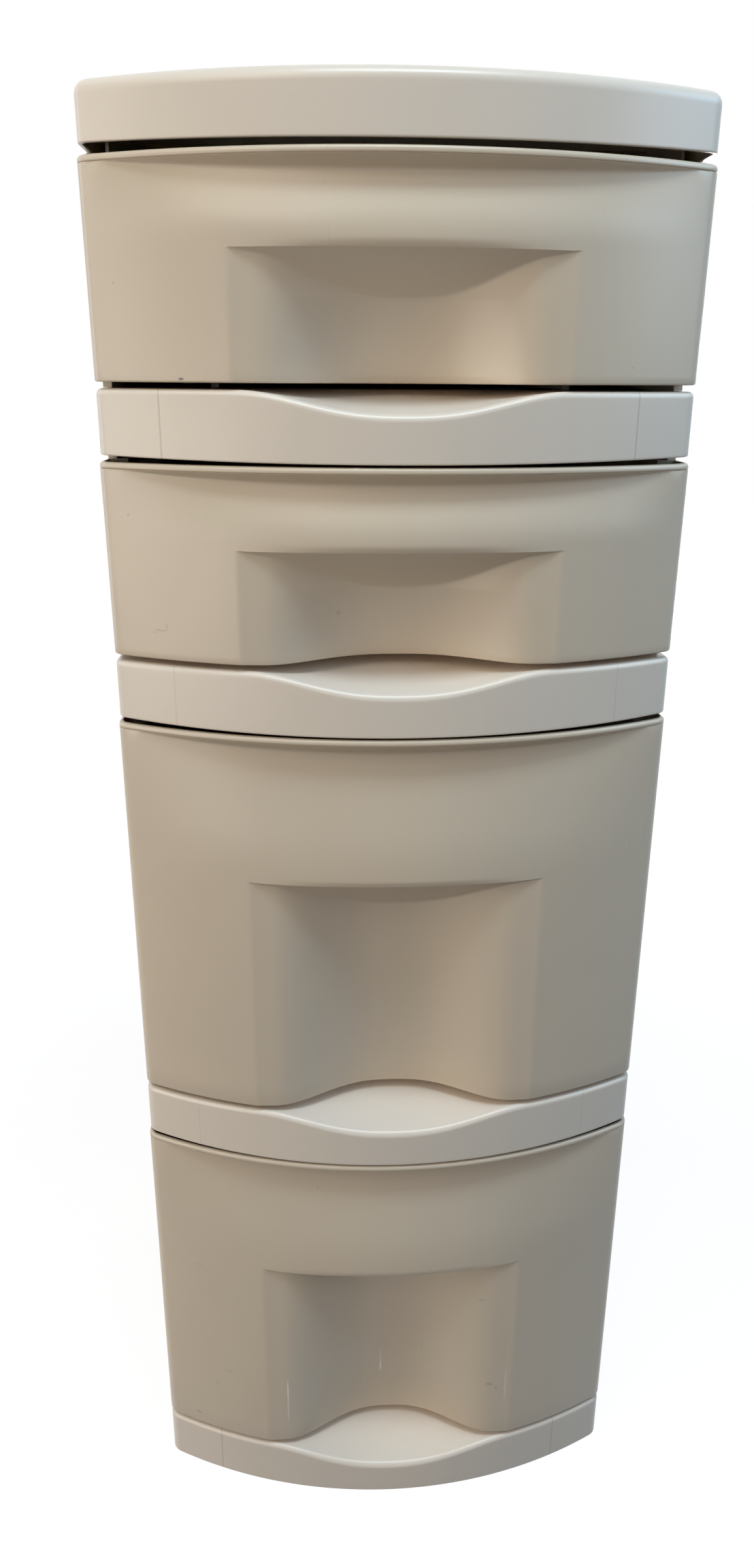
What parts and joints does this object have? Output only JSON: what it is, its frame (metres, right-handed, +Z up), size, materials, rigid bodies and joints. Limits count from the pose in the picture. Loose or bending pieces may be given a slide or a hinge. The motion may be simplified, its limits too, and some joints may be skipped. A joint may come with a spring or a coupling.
{
  "type": "plastic drawer tower",
  "caption": "Narrow floor-standing drawer tower in moulded plastic, with bowed fronts, finger-trough pulls, shallow drawers over deep ones and scooped shelf rails",
  "frame": {"origin": "Middle of the footprint, on the floor", "axes": "+X is to the right seen from the front, +Y is to the back, +Z is up; the drawers' fronts face -Y"},
  "size_m": [0.302, 0.39, 0.8372],
  "materials": {
    "frame_plastic": "cream moulded polypropylene, satin gloss",
    "panel_plastic": "cream moulded polypropylene, satin gloss",
    "drawer_plastic": "cream moulded polypropylene, satin gloss, faint flow marks"
  },
  "bodies": {
    "frame": {"top_cover": "frame_plastic", "shelf_frame_1": "frame_plastic", "shelf_frame_2": "frame_plastic", "shelf_frame_3": "frame_plastic", "base_frame": "frame_plastic", "left_panel_1": "panel_plastic", "left_panel_2": "panel_plastic", "left_panel_3": "panel_plastic", "left_panel_4": "panel_plastic", "right_panel_1": "panel_plastic", "right_panel_2": "panel_plastic", "right_panel_3": "panel_plastic", "right_panel_4": "panel_plastic", "back_panel_1": "panel_plastic", "back_panel_2": "panel_plastic", "back_panel_3": "panel_plastic", "back_panel_4": "panel_plastic"},
    "drawer_1": {"drawer_1": "drawer_plastic"},
    "drawer_2": {"drawer_2": "drawer_plastic"},
    "drawer_3": {"drawer_3": "drawer_plastic"},
    "drawer_4": {"drawer_4": "drawer_plastic"}
  },
  "joints": [
    {"name": "drawer_1_slide", "type": "slide", "parent": "frame", "child": "drawer_1", "axis": [0, -1, 0], "range_m": [0, 0.27]},
    {"name": "drawer_2_slide", "type": "slide", "parent": "frame", "child": "drawer_2", "axis": [0, -1, 0], "range_m": [0, 0.27]},
    {"name": "drawer_3_slide", "type": "slide", "parent": "frame", "child": "drawer_3", "axis": [0, -1, 0], "range_m": [0, 0.27]},
    {"name": "drawer_4_slide", "type": "slide", "parent": "frame", "child": "drawer_4", "axis": [0, -1, 0], "range_m": [0, 0.27]}
  ]
}
